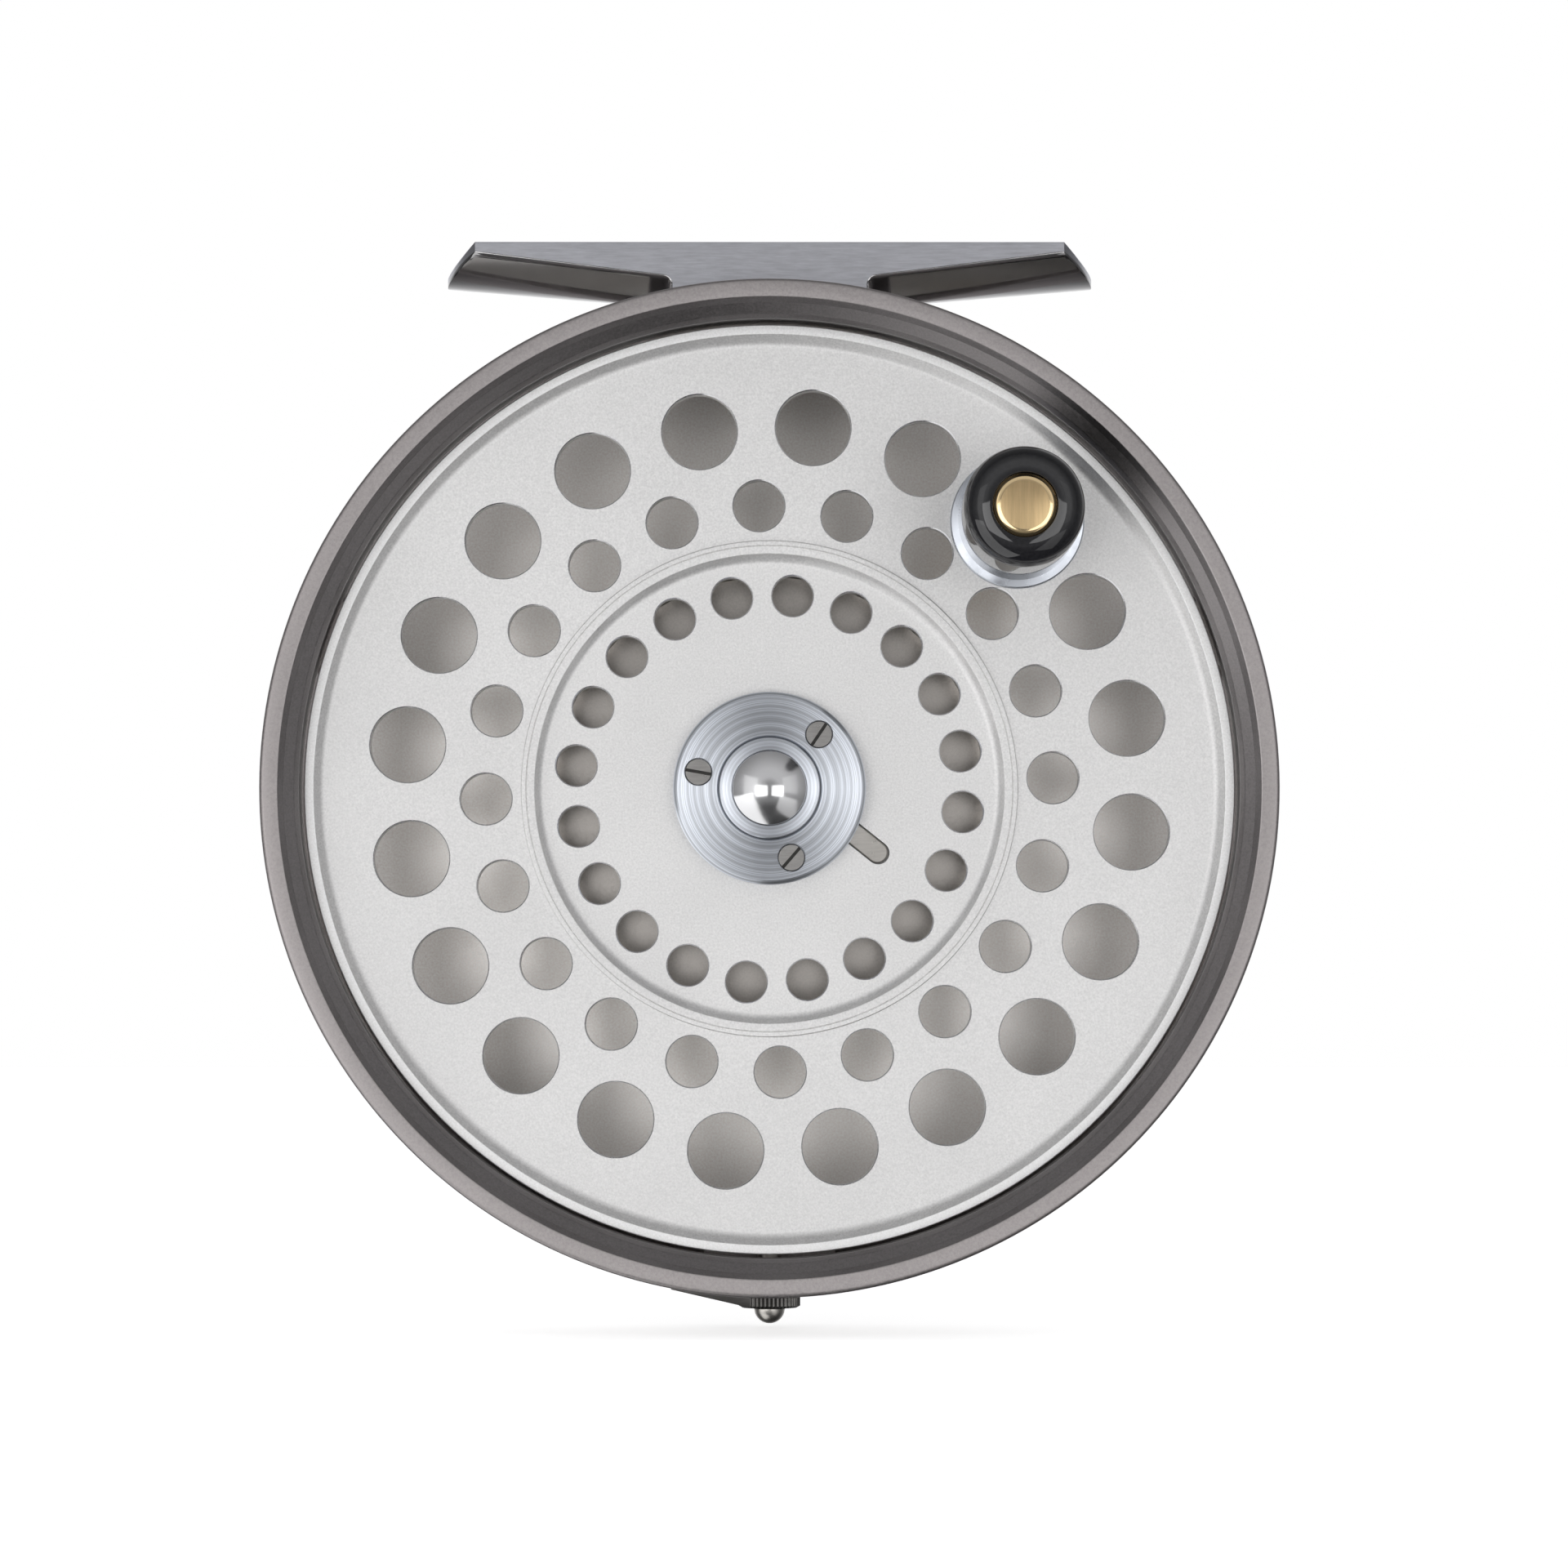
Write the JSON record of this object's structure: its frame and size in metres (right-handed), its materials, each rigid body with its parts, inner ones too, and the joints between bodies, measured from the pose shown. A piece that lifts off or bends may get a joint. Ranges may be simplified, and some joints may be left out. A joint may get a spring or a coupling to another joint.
{
  "type": "fly reel",
  "caption": "Click-check trout fly reel with a perforated spool, a black handle, a curved foot and a knurled check regulator.",
  "frame": {"origin": "on the spindle's axis, at the frame's flat back face, where the spindle's riveted end is flush", "axes": "+Z through the middle of the reel foot, +X along the foot, -Y along the spindle towards the handle side"},
  "size_m": [0.0888, 0.0406, 0.0964],
  "materials": {
    "frame": "fine bead-blasted, bronze grey",
    "spool": "fine bead-blasted, pale silver",
    "turned_aluminium": "finely turned",
    "polished_steel": "polished",
    "nickel": "satin nickel",
    "dark_nickel": "dark nickel, knurled",
    "spring_steel": "hardened strip",
    "bronze": "machined bronze",
    "chrome": "polished",
    "brass": "brushed brass",
    "knob": "polished black"
  },
  "bodies": {
    "frame": {"frame_cage": "frame", "reel_foot": "frame", "foot_screw_left": "nickel", "foot_screw_right": "nickel", "spindle": "polished_steel", "pawl_post_left": "polished_steel", "pawl_post_right": "polished_steel", "check_spring": "spring_steel", "spring_screw_left": "polished_steel", "spring_screw_right": "polished_steel"},
    "pawl_left": {"check_pawl_left": "nickel"},
    "pawl_right": {"check_pawl_right": "nickel"},
    "regulator": {"regulator_arm": "nickel", "regulator_stud": "polished_steel", "regulator_slide": "dark_nickel", "regulator_nut": "dark_nickel"},
    "spool": {"spool": "spool", "arbor_disc": "spool", "hub_cover": "turned_aluminium", "front_bush": "turned_aluminium", "rear_bush": "bronze", "latch_spring": "spring_steel", "hub_screw_1": "nickel", "hub_screw_2": "nickel", "hub_screw_3": "nickel", "click_gear": "bronze", "gear_screw_1": "nickel", "gear_screw_2": "nickel", "gear_screw_3": "nickel", "handle_collar": "chrome", "handle_pin": "brass", "handle_nut": "brass"},
    "latch": {"latch_lever": "nickel"},
    "handle": {"handle_knob": "knob"}
  },
  "joints": [
    {"name": "spool_spin", "type": "hinge", "parent": "frame", "child": "spool", "pos_m": [0, -0.014, 0], "axis": [0, -1, 0], "continuous": true},
    {"name": "handle_spin", "type": "hinge", "parent": "spool", "child": "handle", "pos_m": [0.02178, -0.032, 0.02345], "axis": [0, -1, 0], "continuous": true},
    {"name": "latch_slide", "type": "slide", "parent": "spool", "child": "latch", "axis": [-0.7804, 0, 0.6252], "range_m": [0, 0.001], "stiffness_N_per_m": 800, "springref_m": -0.001, "deforming": ["latch_spring"]},
    {"name": "pawl_left_rock", "type": "hinge", "parent": "frame", "child": "pawl_left", "pos_m": [-0.01221, -0.0064, 0.0015], "axis": [0, -1, 0], "range_deg": [-3, 3], "stiffness_Nm_per_rad": 0.01},
    {"name": "pawl_right_rock", "type": "hinge", "parent": "frame", "child": "pawl_right", "pos_m": [0.01221, -0.0064, -0.0015], "axis": [0, -1, 0], "range_deg": [-3, 3], "stiffness_Nm_per_rad": 0.01},
    {"name": "regulator_swing", "type": "hinge", "parent": "frame", "child": "regulator", "pos_m": [0, -0.004, 0], "axis": [0, -1, 0], "range_deg": [-6, 6], "deforming": ["check_spring"]}
  ]
}
